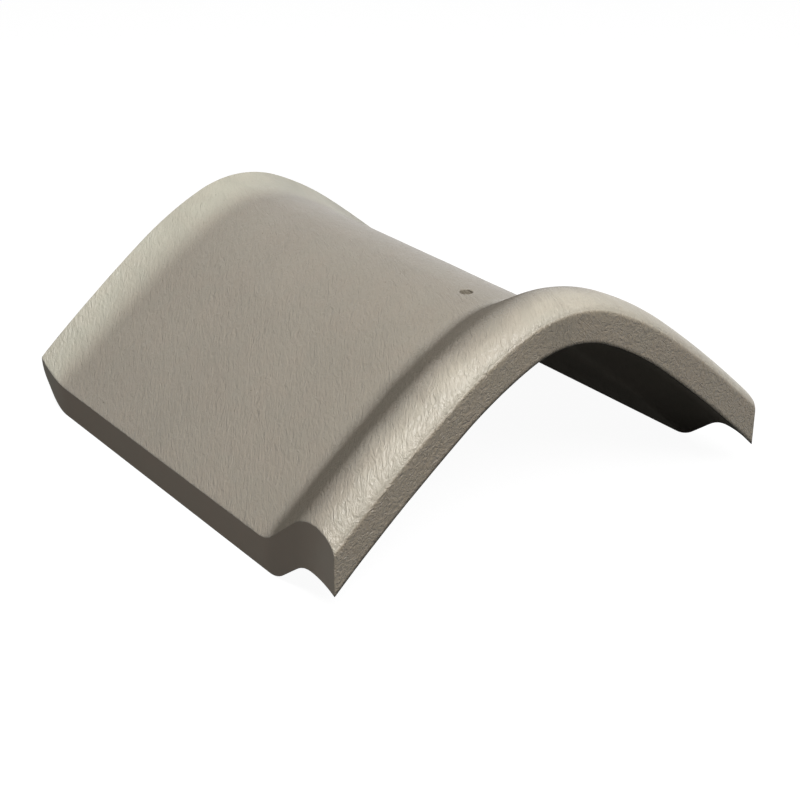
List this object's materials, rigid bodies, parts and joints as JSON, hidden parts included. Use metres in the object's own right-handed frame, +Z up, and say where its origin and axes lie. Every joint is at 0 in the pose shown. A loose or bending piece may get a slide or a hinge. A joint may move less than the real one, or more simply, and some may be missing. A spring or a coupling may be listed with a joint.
{
  "type": "ridge tile",
  "caption": "Rounded-apex concrete ridge tile with a raised collar roll, a rebate under it, a flared lip at the other end and a nail hole on the crest.",
  "frame": {"origin": "centre of the bounding box on the level floor the tile stands on", "axes": "+X along the ridge towards the collar end, +Z up, +Y across the ridge"},
  "size_m": [0.2764, 0.25, 0.1159],
  "materials": {
    "concrete": "through-coloured grey-beige concrete with a fine, slightly satin pressed surface"
  },
  "bodies": {
    "root": {"ridge_tile": "concrete"}
  },
  "joints": []
}
